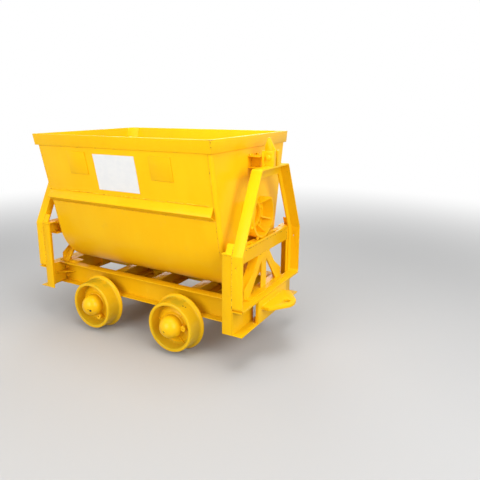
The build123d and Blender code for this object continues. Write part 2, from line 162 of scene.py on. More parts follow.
class Shader:
    """The node tree of a material or world, with one method that adds any node."""

    def __init__(self, owner):
        owner.use_nodes = True
        self.owner = owner
        self.tree = owner.node_tree
        self.tree.nodes.clear()
        self.place = self.out(self.add("ShaderNodeTexCoord"), "Object")

    def add(self, kind, settings=(), sockets=()):
        """Add a node: its settings first, then the values or links of its sockets."""
        node = self.tree.nodes.new(kind)
        for key, value in dict(settings).items():
            setattr(node, key, value)
        for key, value in dict(sockets).items():
            if isinstance(value, Signal):
                self.tree.links.new(value.socket, node.inputs[key])
            else:
                node.inputs[key].default_value = value
        return node

    def out(self, node, socket=0):
        """One output of a node."""
        return Signal(self, node.outputs[socket])

    def math(self, operation, first, second=0.0):
        """The result of a Math node."""
        return self.out(self.add("ShaderNodeMath", {"operation": operation}, {0: first, 1: second}))

    def largest(self, first, *others):
        """The largest of the values given."""
        for other in others:
            first = self.math("MAXIMUM", first, other)
        return first

    def stretch(self, scale):
        """The place on the piece, multiplied along each axis."""
        node = self.add("ShaderNodeVectorMath", {"operation": "MULTIPLY"}, {0: self.place, 1: scale})
        return self.out(node)

    def noise(self, scale, detail, roughness=0.5, vector=None):
        """Cloudy noise from about 0.3 to 0.7. Scale is in waves a metre."""
        sockets = {
            "Vector": vector or self.place,
            "Scale": scale,
            "Detail": detail,
            "Roughness": roughness,
        }
        return self.out(self.add("ShaderNodeTexNoise", (), sockets))

    def cells(self, scale):
        """Distance to the nearest of scattered points. Scale is in points a metre."""
        return self.out(self.add("ShaderNodeTexVoronoi", (), {"Vector": self.place, "Scale": scale}))

    def step(self, value, low, high):
        """Rises smoothly from 0 at low to 1 at high. High may be the lower number."""
        settings = {"interpolation_type": "SMOOTHSTEP"}
        sockets = {"Value": value, "From Min": low, "From Max": high}
        return self.out(self.add("ShaderNodeMapRange", settings, sockets))

    def band(self, value, rise, fall):
        """1 between two soft edges, each given as a step's low and high."""
        return self.step(value, *rise) * self.step(value, *fall)

    def mix(self, factor, first, second):
        """The first colour where factor is 0 and the second where it is 1."""
        settings = {"data_type": "RGBA", "clamp_factor": True}
        sockets = {0: factor, 6: first, 7: second}
        return self.out(self.add("ShaderNodeMix", settings, sockets), 2)

    def axes(self):
        """X, Y and Z of the place on the piece."""
        split = self.add("ShaderNodeSeparateXYZ", (), {0: self.place})
        return [self.out(split, axis) for axis in range(3)]

    def bump(self, height, distance, strength, normal=None):
        """A surface raised by height times distance, in metres, over another bump if one is given."""
        sockets = {"Height": height, "Distance": distance, "Strength": strength}
        if normal:
            sockets["Normal"] = normal
        return self.out(self.add("ShaderNodeBump", (), sockets))

    def seen_plainly(self):
        """1 for the rays by which the camera, polish and glass see the background, otherwise 0."""
        rays = self.add("ShaderNodeLightPath")
        kinds = ("Is Camera Ray", "Is Glossy Ray", "Is Transmission Ray")
        return self.largest(*[self.out(rays, kind) for kind in kinds])

    def finish(self, surface, output="ShaderNodeOutputMaterial"):
        """Link the last node to the output, and give back the material or world."""
        self.add(output, (), {"Surface": self.out(surface)})
        return self.owner


# Finishes. Colours are linear.
YELLOW = (0.94, 0.53, 0.006, 1)
YELLOW_DEEP = (0.92, 0.49, 0.004, 1)
YELLOW_PALE = (0.95, 0.60, 0.020, 1)
SHEEN = (1.0, 0.72, 0.10, 1)
PRIMER = (0.075, 0.040, 0.020, 1)
DUST = (0.36, 0.29, 0.13, 1)
# Olive grime on the treads and in the dishes, and painted shade low in the dishes
OLIVE_GRIME_AND_SHADE = (0.40, 0.315, 0.014, 1)


# What the paints share: how they shine, and how deep their unevenness is in metres
PAINT_SHINE = 0.08
COAT_ROUGHNESS = 0.22
WAVE_DEPTH = 0.0016
PEEL_DEPTH = 0.00028
CHIP_DEPTH = 0.0004
WELD_SHINE = 0.15
WELD_BUMP = 0.0003

PAPER_WHITE = (0.80, 0.80, 0.795, 1)
PAPER_CLOUD = (0.77, 0.775, 0.78, 1)
PAPER_SHINE = 0.1
PAPER_BUMP = 0.00006

# Places in metres: the rim's near corner, where the paint is worn, and the soft edges of bands round the
# axle, where the olive grime and the dishes' painted shade lie
RIM_CORNER_Y = -0.4548
TREAD_BAND = ((0.138, 0.143), (0.158, 0.154))
DISH_BAND = ((0.098, 0.122), (0.140, 0.128))


def fine_chips(shader, groups_above):
    """Small spots where the paint is off, in loose groups: fewer, the higher groups_above is."""
    spots = shader.step(shader.cells(95.0), 0.16, 0.11)
    groups = shader.step(shader.noise(9.0, 3.0), groups_above, groups_above + 0.03)
    return spots * groups


def rim_wear(shader):
    """Chips along the top edge by the near right corner, and down that corner's edge."""
    x, y, z = shader.axes()
    ragged = shader.noise(170.0, 3.0, 0.7)
    corner_x = (BUCKET_HALF_LENGTH + RIM_THICK) * MM
    top = RIM_TOP * MM + RAIL_TOP
    corner_y = RIM_CORNER_Y - (z - top) * tan(WALL_SLOPE)
    near_side = shader.step(y, -0.40, -0.43)
    by_corner = shader.step(x, corner_x - 0.075, corner_x - 0.045)
    on_top = shader.step(z, top - 0.008, top - 0.002)
    top_chips = shader.step(ragged, 0.535, 0.575) * on_top * near_side * by_corner
    on_edge = shader.step(y - corner_y, 0.009, 0.004) * shader.step(x, corner_x - 0.009, corner_x - 0.004)
    edge_chips = shader.step(ragged, 0.545, 0.60) * on_edge
    scattered = shader.step(shader.noise(60.0, 2.0), 0.72, 0.75) * on_top
    return shader.largest(top_chips, edge_chips, scattered)


def from_axle(shader):
    """Height over the axles, and distance from the nearer axle."""
    x, _, z = shader.axes()
    along = abs(x) - AXLE_X * MM
    up = z - (AXLE_Z * MM + RAIL_TOP)
    return up, shader.math("SQRT", along * along + up * up)


def rail_grime_and_dish_shade(shader):
    """Olive grime on the treads and in the dishes, thickest on the treads' tops; its deepening toward the
    bottom of the dishes is painted shade.
    """
    up, radius = from_axle(shader)
    tread = shader.band(radius, *TREAD_BAND)
    patchy = shader.step(shader.noise(14.0, 4.0, 0.6), 0.36, 0.64)
    on_top = shader.step(up, 0.105, 0.14)
    dish = shader.band(radius, *DISH_BAND)
    # Painted shade: the olive film grows heavier toward the bottom of each dish
    low = shader.step(up, 0.02, -0.10)
    return tread * (0.30 + 0.50 * patchy * on_top) + dish * (0.30 + 0.28 * low)


def spot(shader, centre, size):
    """1 within about size metres of a place, ragged at the edge."""
    ragged = shader.noise(260.0, 2.0)
    away = shader.add("ShaderNodeVectorMath", {"operation": "DISTANCE"}, {0: shader.place, 1: centre})
    return shader.step(shader.out(away, "Value") + 0.5 * size * ragged, size * 1.35, size * 1.15)


WHEEL_SPOTS = (
    # place in metres, size in metres: the first is a dark spot on the near left cap, painted shade of a
    # hole; the rest are chips on the near caps, and on the near right tread
    ((-0.2674, -0.4240, 0.1556), 0.0072),
    ((-0.2755, -0.4280, 0.1625), 0.0030),
    ((-0.2830, -0.4305, 0.1650), 0.0024),
    ((-0.3580, -0.3850, 0.1720), 0.0030),
    ((0.2960, -0.4338, 0.1640), 0.0026),
    ((0.3010, -0.4336, 0.1590), 0.0030),
    ((0.3700, -0.3450, 0.2980), 0.0040),
    ((0.3830, -0.3380, 0.2920), 0.0034),
)


def wheel_wear_and_hole_shade(shader):
    """Chips at the wheels' own spots, and one dark spot on the near left cap that is painted shade of a
    hole.
    """
    return shader.largest(*[spot(shader, centre, size) for centre, size in WHEEL_SPOTS])


def dulled(colour, share):
    """A colour at a share of its strength."""
    return tuple(channel * share for channel in colour[:3]) + (1,)


def yellow_paint(
    name, peel=1.0, chips_above=0.71, wear_and_hole_shade=None, film_and_shade=None, roughness=0.38, coat=0.12, painted_shade=1.0
):
    """Thick yellow gloss paint. Peel is how coarse the surface under it is; the last argument dims its
    colour, which is painted shade.
    """
    shader = Shader(bpy.data.materials.new(name))
    broad = shader.noise(2.6, 3.0)
    drawn = shader.noise(5.0, 2.0, 0.5, shader.stretch((2.2, 2.2, 0.35)))
    tone = shader.step(broad * 0.6 + drawn * 0.4, 0.34, 0.66)
    colour = shader.mix(tone, dulled(YELLOW_DEEP, painted_shade), dulled(YELLOW, painted_shade))
    mottle = shader.step(shader.noise(38.0, 4.0, 0.65), 0.52, 0.78)
    colour = shader.mix(mottle * 0.22, colour, YELLOW_PALE)
    dust = shader.step(shader.noise(11.0, 5.0, 0.7), 0.58, 0.80)
    colour = shader.mix(dust * 0.10, colour, DUST)
    # On the wheels this film is grime, and painted shade low in the dishes
    if film_and_shade:
        colour = shader.mix(film_and_shade(shader), colour, OLIVE_GRIME_AND_SHADE)
    chips = fine_chips(shader, chips_above)
    # On the wheels the wear includes a dark spot that is painted shade of a hole
    if wear_and_hole_shade:
        chips = shader.largest(chips, wear_and_hole_shade(shader))
    colour = shader.mix(chips, colour, PRIMER)
    waves = shader.bump(shader.noise(4.5, 2.0), WAVE_DEPTH * peel, 0.5)
    skin = shader.noise(260.0 / peel, 3.0, 0.55)
    peeled = shader.bump(skin, PEEL_DEPTH * peel, 0.6, waves)
    sockets = {
        "Base Color": colour,
        "Roughness": roughness + 0.16 * dust + 0.4 * chips,
        "Specular IOR Level": PAINT_SHINE,
        "Specular Tint": SHEEN,
        "Coat Weight": coat - coat * chips,
        "Coat Roughness": COAT_ROUGHNESS,
        "Normal": shader.bump(chips, -CHIP_DEPTH, 0.7, peeled),
    }
    return shader.finish(shader.add("ShaderNodeBsdfPrincipled", (), sockets))


def weld_paint(name, holes_above):
    """The same paint over weld beads: brighter, with dark pinholes where it missed; given many, the
    pinholes are also painted shade of open gaps along a seam.
    """
    shader = Shader(bpy.data.materials.new(name))
    patches = shader.step(shader.noise(55.0, 3.0), 0.40, 0.66)
    colour = shader.mix(patches, YELLOW_DEEP, YELLOW_PALE)
    holes = shader.step(shader.noise(130.0, 3.0, 0.7), holes_above, holes_above + 0.05)
    colour = shader.mix(holes * 0.8, colour, PRIMER)
    sockets = {
        "Base Color": colour,
        "Roughness": 0.42 + 0.3 * holes,
        "Specular IOR Level": WELD_SHINE,
        "Normal": shader.bump(shader.noise(420.0, 2.0), WELD_BUMP, 0.6),
    }
    return shader.finish(shader.add("ShaderNodeBsdfPrincipled", (), sockets))


def paper():
    """A bare white sheet, a little uneven where it is stuck down."""
    shader = Shader(bpy.data.materials.new("white_paper"))
    fibres = shader.noise(600.0, 3.0, 0.6)
    cloudy = shader.step(shader.noise(24.0, 2.0), 0.35, 0.7)
    sockets = {
        "Base Color": shader.mix(cloudy, PAPER_WHITE, PAPER_CLOUD),
        "Roughness": 0.7 + 0.15 * fibres,
        "Specular IOR Level": PAPER_SHINE,
        "Normal": shader.bump(fibres, PAPER_BUMP, 0.4),
    }
    return shader.finish(shader.add("ShaderNodeBsdfPrincipled", (), sockets))


PLATE_PAINT = yellow_paint("yellow_paint_on_plate")
RIM_PAINT = yellow_paint("yellow_paint_on_rim", wear_and_hole_shade=rim_wear)
CAST_PAINT = yellow_paint("yellow_paint_on_casting", peel=2.2, chips_above=0.70)
# The wheels' paint is dimmed a little: painted shade
WHEEL_PAINT = yellow_paint(
    "yellow_paint_on_wheels",
    peel=1.8,
    chips_above=0.70,
    wear_and_hole_shade=wheel_wear_and_hole_shade,
    film_and_shade=rail_grime_and_dish_shade,
    roughness=0.36,
    coat=0.30,
    painted_shade=0.94,
)
# The low frame's paint is dimmed: painted shade under the bucket
LOW_PAINT = yellow_paint("yellow_paint_on_low_frame", chips_above=0.70, painted_shade=0.86)
WELD_PAINT = weld_paint("yellow_paint_over_weld", 0.60)
# Thin paint over the frame's and the bucket's seams: its many dark pinholes are partly painted shade of
# open gaps along them
GAPPY_WELD_PAINT_AND_GAP_SHADE = weld_paint("thin_paint_over_weld_and_gap_shade", 0.535)
PAPER = paper()


# Modelling helpers


def only(piece):
    """Make a piece the only selected and the active object."""
    bpy.ops.object.select_all(action="DESELECT")
    piece.select_set(True)
    bpy.context.view_layer.objects.active = piece


def apply_all(piece):
    """Apply a piece's modifiers, in their order."""
    only(piece)
    for modifier in list(piece.modifiers):
        bpy.ops.object.modifier_apply(modifier=modifier.name)


def settle(piece):
    """Move a piece's place, turn and scale into its mesh."""
    only(piece)
    bpy.ops.object.transform_apply(location=True, rotation=True, scale=True)


def choose(piece, kind, test):
    """Select the vertices or faces of a piece whose middle passes the test, in edit mode."""
    only(piece)
    bpy.ops.object.mode_set(mode="EDIT")
    bpy.ops.mesh.select_mode(type=kind)
    bpy.ops.mesh.select_all(action="DESELECT")
    bpy.ops.object.mode_set(mode="OBJECT")
    for part in piece.data.vertices if kind == "VERT" else piece.data.polygons:
        if test(part.co if kind == "VERT" else part.center):
            part.select = True
    bpy.ops.object.mode_set(mode="EDIT")


def leave_edit():
    """Back to object mode, which writes the edits to the mesh."""
    bpy.ops.object.mode_set(mode="OBJECT")


def bevel_edges(piece, width, segments, angle=radians(30)):
    """Round a piece's edges where its faces turn by more than the angle. Width in metres."""
    bevel = piece.modifiers.new("soft_edges", "BEVEL")
    bevel.width = width
    bevel.segments = segments
    bevel.limit_method = "ANGLE"
    bevel.angle_limit = angle
    apply_all(piece)


def smooth(piece, angle=radians(40)):
    """Shade a piece smoothly, except across edges sharper than the angle."""
    only(piece)
    bpy.ops.object.shade_smooth_by_angle(angle=angle)


def name_piece(piece, name, paint):
    """Name a piece and its mesh, and give it one paint."""
    piece.name = name
    piece.data.name = name
    piece.data.materials.clear()
    piece.data.materials.append(paint)


def dress(piece, name, paint, body):
    """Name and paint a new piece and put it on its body."""
    name_piece(piece, name, paint)
    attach(piece, body)


def copy_piece(piece, name):
    """A copy with its own mesh, in the same place."""
    twin = bpy.data.objects.new(name, piece.data.copy())
    twin.data.name = name
    bpy.context.scene.collection.objects.link(twin)
    twin.matrix_world = piece.matrix_world.copy()
    return twin


def join(pieces, name):
    """Pieces as one."""
    only(pieces[0])
    for piece in pieces[1:]:
        piece.select_set(True)
    if len(pieces) > 1:
        bpy.ops.object.join()
    joined = bpy.context.view_layer.objects.active
    joined.name = name
    joined.data.name = name
    return joined


def basis(forward, up):
    """A turn that takes X to forward and Z as near as it can to up."""
    x_axis = Vector(forward).normalized()
    y_axis = Vector(up).cross(x_axis).normalized()
    z_axis = x_axis.cross(y_axis)
    return Matrix((x_axis, y_axis, z_axis)).transposed().to_4x4()


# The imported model's own shapes, merged, with their edges softened and repainted

MERGE_DISTANCE = 0.01 * MM
FLAT_ANGLE = radians(0.4)
NODE_FINISH = (
    # start of the node's name, softened edge in mm, segments, paint
    ("wheels", 3.2, 3, WHEEL_PAINT),
    ("hub_caps", 1.6, 2, WHEEL_PAINT),
    ("axle_seats", 2.5, 2, CAST_PAINT),
    ("axle", 1.0, 1, PLATE_PAINT),
    ("rocker_beam", 1.4, 2, PLATE_PAINT),
    ("rocker", 1.8, 2, CAST_PAINT),
    ("rim_band", 1.6, 2, RIM_PAINT),
    ("trough", 1.0, 2, PLATE_PAINT),
    ("end_wall", 1.0, 2, PLATE_PAINT),
    ("sill_gussets", 1.2, 2, LOW_PAINT),
    ("sill", 2.0, 2, LOW_PAINT),
    ("cross_members", 1.6, 2, LOW_PAINT),
    ("end_channel", 1.8, 2, LOW_PAINT),
    ("end_ring", 1.6, 2, PLATE_PAINT),
    ("", 1.3, 2, PLATE_PAINT),
)


def soften(node):
    """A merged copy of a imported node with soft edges, which stands for it."""
    source = frame["nodes"][node]
    body = source["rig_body"]
    width, segments, paint = next(row[1:] for row in NODE_FINISH if node.startswith(row[0]))
    piece = bpy.data.objects.new(f"painted_{node}", source.data.copy())
    bpy.context.scene.collection.objects.link(piece)
    only(piece)
    bpy.ops.object.mode_set(mode="EDIT")
    bpy.ops.mesh.select_all(action="SELECT")
    bpy.ops.mesh.remove_doubles(threshold=MERGE_DISTANCE)
    bpy.ops.mesh.dissolve_limited(angle_limit=FLAT_ANGLE)
    leave_edit()
    bpy.ops.mesh.customdata_custom_splitnormals_clear()
    bevel_edges(piece, width * MM, segments)
    smooth(piece)
    name_piece(piece, f"painted_{node}", paint)
    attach(piece, body)
    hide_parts(node)


for node in sorted(frame["nodes"]):
    soften(node)


# Weld beads: a row of overlapping flat scales, a little uneven

# A scale is a flattened ball that leans along the bead. Pitch and unevenness are shares of its radius.
BEAD_PITCH = 0.75
BEAD_LEAN = radians(62)
BEAD_FLATTENED = 0.8
BEAD_UNEVEN = 0.9
rough_weld = bpy.data.textures.new("rough_weld", "CLOUDS")
rough_weld.noise_scale = 0.006
rough_weld.noise_depth = 1


def weld(start, end, outward, width):
    """A straight bead from start to end, its back sunk in the seam. Width in mm."""
    start, end = Vector(start), Vector(end)
    length = (end - start).length
    radius = width * MM / 2
    count = max(2, round(length / (radius * BEAD_PITCH)))
    bpy.ops.mesh.primitive_uv_sphere_add(segments=7, ring_count=4, radius=radius, location=(0, 0, 0))
    bead = bpy.context.active_object
    bead.rotation_euler = (0, BEAD_LEAN, 0)
    bead.scale = (1.0, 1.0, BEAD_FLATTENED)
    settle(bead)
    row = bead.modifiers.new("row", "ARRAY")
    row.use_relative_offset = False
    row.use_constant_offset = True
    row.constant_offset_displace = (length / count, 0, 0)
    row.count = count
    apply_all(bead)
    bead.matrix_world = Matrix.Translation(start) @ basis(end - start, outward)
    settle(bead)
    uneven = bead.modifiers.new("uneven", "DISPLACE")
    uneven.texture = rough_weld
    uneven.texture_coords = "GLOBAL"
    uneven.strength = radius * BEAD_UNEVEN
    uneven.mid_level = 0.5
    apply_all(bead)
    return bead


def stitches(start, end, outward, count, length, width):
    """Short beads spaced evenly between two points. Length and width of each in mm."""
    start, end = Vector(start), Vector(end)
    half = (end - start).normalized() * length * MM / 2
    middles = [start.lerp(end, (number + 0.5) / count) for number in range(count)]
    return [weld(middle - half, middle + half, outward, width) for middle in middles]


def weld_set(name, beads, body, paint=WELD_PAINT):
    """Beads that ride on one body, as one piece."""
    piece = join(beads, name)
    smooth(piece, radians(70))
    dress(piece, name, paint, body)


# A stiffener's bead ends where less than this is left. A run round the bottom is ARC_STEP degrees long.
SHORTEST_RUN = 60
RIM_SEAM_HALF = 600
ARC_STEP = 13


def side_point(x, height, side, out=0.0):
    """A point on the bucket's sloping side wall, out mm proud of it."""
    y = wall_half_width(height) + out / cos(WALL_SLOPE)
    return place(x, side * y, height)


def trough_point(x, lean, side, out):
    """A point on the round bottom, lean degrees below its centre, out mm proud of it."""
    radius = TROUGH_RADIUS + out
    return place(x, side * radius * cos(radians(lean)), TROUGH_CENTRE - radius * sin(radians(lean)))


def off_slope(side):
    """The way that a sloping side wall of the bucket faces."""
    return Vector((0, side * cos(WALL_SLOPE), -sin(WALL_SLOPE)))


def side_bead(start_x, end_x, height, side, out, width):
    """A level bead on the bucket's sloping side wall, its seam out mm proud of it."""
    ends = [side_point(x, height, side, out) for x in (start_x, end_x)]
    return weld(*ends, off_slope(side), width)


def stiffener_beads(side, draws):
    """A thin bead under the stiffener's toe, and an uneven and broken one along its top."""
    toe = STIFFENER_TOP - STIFFENER_LEG * sqrt(2) * cos(WALL_SLOPE)
    beads = [side_bead(-BUCKET_FLAT_HALF, BUCKET_FLAT_HALF, toe - 1, side, out=0.4, width=4.0)]
    start_x = -BUCKET_FLAT_HALF
    while start_x < BUCKET_FLAT_HALF - SHORTEST_RUN:
        end_x = min(BUCKET_FLAT_HALF, start_x + draws.uniform(50, 170))
        height = STIFFENER_TOP + draws.uniform(-1.0, 4.0)
        beads.append(side_bead(start_x, end_x, height, side, out=0.4, width=8.0))
        start_x = end_x + draws.uniform(4, 16)
    return beads


def rim_and_pad_beads(side):
    """Short beads under the rim band, and one along the foot of each pad."""
    ends = [side_point(x, RIM_FOOT - 0.5, side, 1.0) for x in (-RIM_SEAM_HALF, RIM_SEAM_HALF)]
    beads = stitches(*ends, off_slope(side), count=9, length=26, width=4.0)
    for middle in (-PAD_X, PAD_X):
        left, right = middle - PAD_HALF_LENGTH, middle + PAD_HALF_LENGTH
        beads.append(side_bead(left, right, PAD_FOOT - 0.6, side, out=0.6, width=3.0))
    return beads


def end_seam_beads(side):
    """The seam of each end wall on one side: along the slope, then round the bottom in short runs."""
    beads = []
    for _, end in ENDS:
        x = end * (BUCKET_FLAT_HALF + 2)
        ends = [side_point(x, height, side) for height in (SLOPE_FOOT, RIM_FOOT - 4)]
        beads.append(weld(*ends, off_slope(side), width=3.0))
        for lean in range(SLOPE_DEGREES, 90, ARC_STEP):
            ends = [trough_point(x, angle, side, out=0.2) for angle in (lean, min(90, lean + ARC_STEP))]
            middle = radians(lean + ARC_STEP / 2)
            beads.append(weld(*ends, (0, side * cos(middle), -sin(middle)), width=2.6))
    return beads


run_lengths = random.Random(3)
for side_name, side in SIDES:
    weld_set(f"stiffener_welds_{side_name}", stiffener_beads(side, run_lengths), "bucket")
    weld_set(f"bucket_side_welds_{side_name}", rim_and_pad_beads(side), "bucket", GAPPY_WELD_PAINT_AND_GAP_SHADE)
    weld_set(f"bucket_end_welds_{side_name}", end_seam_beads(side), "bucket", GAPPY_WELD_PAINT_AND_GAP_SHADE)


# Beads of the end frames, couplers and latches

LEG_SEAM = (RACK_TOP, 682)
LEG_SEAM_Y = tuple(leg_half_width(height) for height in LEG_SEAM)
SILL_SEAM = (SILL_BOTTOM + 7, SILL_TOP - 7)
LUG_FOOT = RING_TOP + 0.6
LUG_FACE = CHEEK_OUTER + 1
KEEPER_ROOT = BUCKET_HALF_LENGTH + 0.6
KEEPER_WEB = KEEPER_Y[0] + WALL + 0.6
KEEPER_TOP = KEEPER_Z[1] + 0.3
KEEPER_BOTTOM = KEEPER_Z[0] - 0.3
OUT = (1, 0, 0)
ASIDE = (0, 1, 0)
UP = (0, 0, 1)

# The columns of these tables, in mm: X outward from the cart's middle, Y to one side, and Z, each as one
# number or as a pair from the bead's start to its end, then the way that the bead faces, and its width.
RING_BEADS = (
    (RING_BACK, FRAME_HALF, (RING_BOTTOM + 5, KNEE), ASIDE, 5.5),
    (RING_BACK, LEG_SEAM_Y, LEG_SEAM, ASIDE, 5.0),
    ((POST_BACK + 2, RING_BACK), FRAME_HALF, KNEE - 1, ASIDE, 4.0),
    (RING_BACK, POST_INNER, (BEAM_BOTTOM, KNEE), OUT, 5.0),
    (RING_BACK - 1.5, SILL_FACE, SILL_SEAM, (1, 1, 0), 4.5),
    (RING_FRONT, (FRAME_HALF, FRAME_HALF - 48), RING_BOTTOM, OUT, 3.5),
    (RING_BACK + 4, (FRAME_HALF, FRAME_HALF - 24), RING_BOTTOM, OUT, 3.5),
)
BEAM_BEADS = (
    (RING_BACK, (9 - POST_INNER, POST_INNER - 9), BEAM_TOP - 9, OUT, 4.5),
    (RING_BACK, (-BRACE_HEAD_HALF, BRACE_HEAD_HALF), BEAM_BOTTOM - 1, OUT, 4.0),
)
COUPLER_BEADS = (
    (RING_FRONT, (-TONGUE_HALF, TONGUE_HALF), TONGUE_TOP + 0.5, OUT, 7.0),
    (RING_FRONT, (-TONGUE_HALF, TONGUE_HALF), TONGUE_BOTTOM - 0.5, OUT, 6.0),
)
KEEPER_BEADS = (
    (KEEPER_ROOT, KEEPER_Y, KEEPER_TOP, OUT, 4.0),
    (KEEPER_ROOT, KEEPER_Y, KEEPER_BOTTOM, OUT, 4.0),
    (KEEPER_ROOT, KEEPER_WEB, (KEEPER_Z[0] + 8, KEEPER_Z[1] - 8), OUT, 5.0),
    (BUCKET_HALF_LENGTH + 8, (38, 50), KEEPER_Z[1] + 3, UP, 13.0),
)
LUG_BEADS = (
    ((RING_BACK + 5, RING_FRONT - 1), LUG_FACE, LUG_FOOT, UP, 4.5),
    (RING_BACK + 3, (LUG_FACE, LUG_FACE + 20), LUG_FOOT, UP, 4.0),
)
BEAD_SETS = (
    # name, body, paint, beads on each side, beads across the middle
    ("frame_welds", "frame", GAPPY_WELD_PAINT_AND_GAP_SHADE, RING_BEADS, BEAM_BEADS),
    ("coupler_welds", "frame", WELD_PAINT, (), COUPLER_BEADS),
    ("keeper_welds", "bucket", WELD_PAINT, KEEPER_BEADS, ()),
    ("lug_welds", "frame", WELD_PAINT, LUG_BEADS, ()),
)


def at_both_ends(value):
    """A table's entry as a pair: its value at the bead's start and at its end."""
    return value if isinstance(value, tuple) else (value, value)


def table_beads(table, end, sides):
    """The beads of a table at one end of the cart, on each of the given sides."""
    beads = []
    for side in sides:
        for x, y, z, facing, width in table:
            corners = zip(at_both_ends(x), at_both_ends(y), at_both_ends(z))
            start, stop = [place(end * along, side * across, height) for along, across, height in corners]
            outward = (end * facing[0], side * facing[1], facing[2])
            beads.append(weld(start, stop, outward, width))
    return beads


for end_name, end in ENDS:
    for name, body, paint, side_table, middle_table in BEAD_SETS:
        beads = table_beads(side_table, end, (-1, 1)) + table_beads(middle_table, end, (1,))
        weld_set(f"{name}_{end_name}", beads, body, paint)


# Plates across the inside corners of the bucket, under the rim, with a bead down each edge

CORNER_LEG = 55
CORNER_THICK = 5
CORNER_HEIGHT = 130
CORNER_TOP = RIM_TOP - 3


def inside_half_width(height):
    """Inner half width of the bucket's sloping side at a height above the rail tops."""
    return wall_half_width(height) - WALL / cos(WALL_SLOPE)


def corner_plate(on_end, on_side, inwards, lean):
    """A plate hung between two points at its top, its foot moved along Y by the wall's lean."""
    across = on_side - on_end
    middle = (on_end + on_side) / 2 - Vector((0, 0, CORNER_HEIGHT * MM / 2))
    bpy.ops.mesh.primitive_cube_add(size=1.0, location=(0, 0, 0))
    plate = bpy.context.active_object
    plate.scale = (across.length, CORNER_THICK * MM, CORNER_HEIGHT * MM)
    settle(plate)
    half_thick = inwards * (CORNER_THICK / 2) * MM
    plate.matrix_world = Matrix.Translation(middle + half_thick) @ basis(across, (0, 0, 1))
    settle(plate)
    choose(plate, "VERT", lambda co: co.z < middle.z)
    bpy.ops.transform.translate(value=(0, lean, 0))
    leave_edit()
    bevel_edges(plate, 1.2 * MM, 2)
    smooth(plate)
    return plate


for end_name, end in ENDS:
    for side_name, side in SIDES:
        top_y = inside_half_width(CORNER_TOP)
        lean = side * (inside_half_width(CORNER_TOP - CORNER_HEIGHT) - top_y) * MM
        inner_x = end * (BUCKET_HALF_LENGTH - WALL)
        on_end = place(inner_x, side * (top_y - CORNER_LEG), CORNER_TOP)
        on_side = place(inner_x - end * CORNER_LEG, side * top_y, CORNER_TOP)
        inwards = Vector((-end, -side, 0)).normalized()
        plate = corner_plate(on_end, on_side, inwards, lean)
        dress(plate, f"corner_plate_{end_name}_{side_name}", PLATE_PAINT, "bucket")
        down = Vector((0, lean, -CORNER_HEIGHT * MM))
        tops = [top + inwards * MM for top in (on_end, on_side)]
        beads = [weld(top, top + down, inwards, width=5.0) for top in tops]
        weld_set(f"corner_plate_welds_{end_name}_{side_name}", beads, "bucket")


# On each wheel: three thin ribs cast on the web, a raised ring round them, and the boss beside the cap

# The web's inner and outer edge: distance from the axle, and from the cart's middle
WEB_INNER = (72, 337)
WEB_OUTER = (119, 321)
# How far the ribs and the boss are turned about the axle, in degrees
RIB_TURNS = {"right": (53, 175, 298), "left": (63, 183, 303)}
BOSS_TURN = {"right": -3, "left": 62}
RIB_WIDTH = 7
RIB_HEIGHT = 5
RIB_LIFT = 1.5
CREST_INSET = 1.6
CREST_RISE = 1.4
WEB_RING = 104
WEB_RING_THICK = 1.8
WEB_RING_SCALE = (1, 1, 0.6)
CREST_SCALE = (0.86, 0.5, 1)
BOSS_REACH = 80
BOSS_BASE = 346
BOSS_RADIUS = 17
BOSS_HEIGHT = 20
BOSS_LIFT = 0.5
BOSS_WALL = 11
BOSS_DEPTH = 14
NECK_SIZE = (22, 15, 12)
NECK_MIDDLE = (-17, 0, 6.5)


def web_height(radius):
    """Distance of the sloping web from the cart's middle, at a distance from the axle."""
    share = (radius - WEB_INNER[0]) / (WEB_OUTER[0] - WEB_INNER[0])
    return WEB_INNER[1] + share * (WEB_OUTER[1] - WEB_INNER[1])


def make_rib():
    """A rib along X, tapering to its crest."""
    bpy.ops.mesh.primitive_cube_add(size=1.0, location=(0, 0, 0))
    rib = bpy.context.active_object
    rib.scale = ((WEB_OUTER[0] - WEB_INNER[0]) * MM, RIB_WIDTH * MM, RIB_HEIGHT * MM)
    settle(rib)
    choose(rib, "FACE", lambda middle: middle.z > 0.4 * RIB_HEIGHT * MM)
    bpy.ops.mesh.inset(thickness=CREST_INSET * MM)
    bpy.ops.transform.resize(value=CREST_SCALE)
    bpy.ops.transform.translate(value=(0, 0, CREST_RISE * MM))
    leave_edit()
    bevel_edges(rib, 0.9 * MM, 2, radians(20))
    smooth(rib)
    return rib


def make_ring():
    """A low ring about the Z axis."""
    bpy.ops.mesh.primitive_torus_add(
        major_segments=96, minor_segments=8, major_radius=WEB_RING * MM, minor_radius=WEB_RING_THICK * MM
    )
    ring = bpy.context.active_object
    ring.scale = WEB_RING_SCALE
    settle(ring)
    smooth(ring, radians(60))
    return ring


def make_boss():
    """A short drilled boss on the Z axis, with a neck back towards the cap."""
    middle = (0, 0, (BOSS_LIFT + BOSS_HEIGHT / 2) * MM)
    bpy.ops.mesh.primitive_cylinder_add(
        vertices=32, radius=BOSS_RADIUS * MM, depth=BOSS_HEIGHT * MM, location=middle
    )
    boss = bpy.context.active_object
    settle(boss)
    choose(boss, "FACE", lambda middle: middle.z > BOSS_HEIGHT * MM)
    bpy.ops.mesh.inset(thickness=BOSS_WALL * MM)
    bpy.ops.mesh.extrude_region_move(TRANSFORM_OT_translate={"value": (0, 0, -BOSS_DEPTH * MM)})
    leave_edit()
    bpy.ops.mesh.primitive_cube_add(size=1.0, location=Vector(NECK_MIDDLE) * MM)
    neck = bpy.context.active_object
    neck.scale = Vector(NECK_SIZE) * MM
    settle(neck)
    whole = join([boss, neck], "boss")
    bevel_edges(whole, 1.6 * MM, 3)
    smooth(whole)
    return whole


